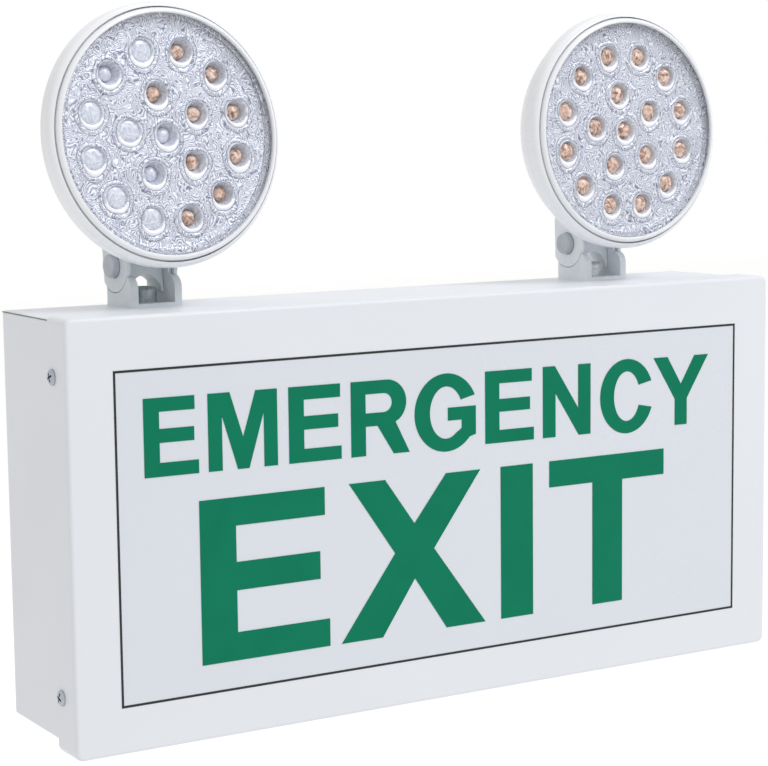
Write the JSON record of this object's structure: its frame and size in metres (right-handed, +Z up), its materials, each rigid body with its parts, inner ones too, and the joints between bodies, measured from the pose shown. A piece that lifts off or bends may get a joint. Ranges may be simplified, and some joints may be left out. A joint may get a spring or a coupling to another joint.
{
  "type": "illuminated exit sign",
  "caption": "White steel wall-mounted illuminated exit sign with swivelling round LED emergency lamps on top, battery, charger and a push-to-test button inside one box.",
  "frame": {"origin": "middle of the rear box's back face, on the wall plane", "axes": "+X to the viewer's right, +Y into the wall, +Z up; the legend faces -Y"},
  "size_m": [0.3787, 0.071, 0.3107],
  "materials": {
    "white_steel": "gloss white powder coat",
    "opal_panel": "smooth opal acrylic",
    "clear_lens": "hammered clear polycarbonate",
    "white_plastic": "gloss white moulding",
    "silver_optic": "metallised optic tray",
    "grey_casting": "satin grey moulding",
    "zinc_steel": "zinc-plated",
    "led_phosphor": "amber phosphor",
    "board": "soldermask",
    "white_board": "white soldermask",
    "black_plastic": "moulded",
    "copper_coil": "taped winding",
    "core_steel": "stacked laminations",
    "battery_wrap": "shrink film",
    "red_button": "moulded",
    "green_lamp": "tinted, clear"
  },
  "bodies": {
    "housing": {"front_cover": "white_steel", "rear_box": "white_steel", "cover_screws": "zinc_steel", "sign_panel": "opal_panel", "panel_clips": "zinc_steel", "clip_nuts": "zinc_steel", "reflector_tray": "white_steel", "tray_standoffs": "zinc_steel", "tray_screws": "zinc_steel", "sign_led_boards": "white_board", "sign_leds": "led_phosphor", "battery_pack": "battery_wrap", "battery_strap": "zinc_steel", "strap_screws": "zinc_steel", "charger_board": "board", "board_standoffs": "zinc_steel", "board_screws": "zinc_steel", "transformer_core": "core_steel", "transformer_coil": "copper_coil", "capacitors": "black_plastic", "relay": "black_plastic", "terminal_block": "black_plastic", "cable_bush": "black_plastic", "switch_body": "black_plastic", "switch_nut": "zinc_steel", "pilot_lamp": "green_lamp", "left_swivel_bolt": "zinc_steel", "left_swivel_washer": "zinc_steel", "left_swivel_nut": "zinc_steel", "right_swivel_bolt": "zinc_steel", "right_swivel_washer": "zinc_steel", "right_swivel_nut": "zinc_steel"},
    "left_swivel": {"left_yoke": "grey_casting"},
    "left_head": {"left_knuckle": "grey_casting", "left_pivot_bolt": "grey_casting", "left_pivot_nut": "zinc_steel", "left_knuckle_screws": "zinc_steel", "left_lamp_shell": "white_plastic", "left_lamp_bezel": "white_plastic", "left_lamp_lens": "clear_lens", "left_optic_tray": "silver_optic", "left_lamp_board": "white_board", "left_lamp_leds": "led_phosphor"},
    "right_swivel": {"right_yoke": "grey_casting"},
    "right_head": {"right_knuckle": "grey_casting", "right_pivot_bolt": "grey_casting", "right_pivot_nut": "zinc_steel", "right_knuckle_screws": "zinc_steel", "right_lamp_shell": "white_plastic", "right_lamp_bezel": "white_plastic", "right_lamp_lens": "clear_lens", "right_optic_tray": "silver_optic", "right_lamp_board": "white_board", "right_lamp_leds": "led_phosphor"},
    "button": {"test_button": "red_button"}
  },
  "joints": [
    {"name": "left_pan", "type": "hinge", "parent": "housing", "child": "left_swivel", "pos_m": [-0.1232, -0.0145, 0.08845], "axis": [0, 0, 1], "range_deg": [-44.7, 35.3]},
    {"name": "left_tilt", "type": "hinge", "parent": "left_swivel", "child": "left_head", "pos_m": [-0.12341, -0.01201, 0.10595], "axis": [-0.9966, -0.0819, 0], "range_deg": [-32.9, 4.1]},
    {"name": "right_pan", "type": "hinge", "parent": "housing", "child": "right_swivel", "pos_m": [0.1188, -0.0145, 0.08845], "axis": [0, 0, 1], "range_deg": [-42.3, 37.7]},
    {"name": "right_tilt", "type": "hinge", "parent": "right_swivel", "child": "right_head", "pos_m": [0.1187, -0.012, 0.10595], "axis": [-0.9992, -0.0401, 0], "range_deg": [-30, 7]},
    {"name": "test_press", "type": "slide", "parent": "housing", "child": "button", "axis": [-1, 0, 0], "range_m": [0, 0.002], "stiffness_N_per_m": 400, "springref_m": -0.002}
  ]
}
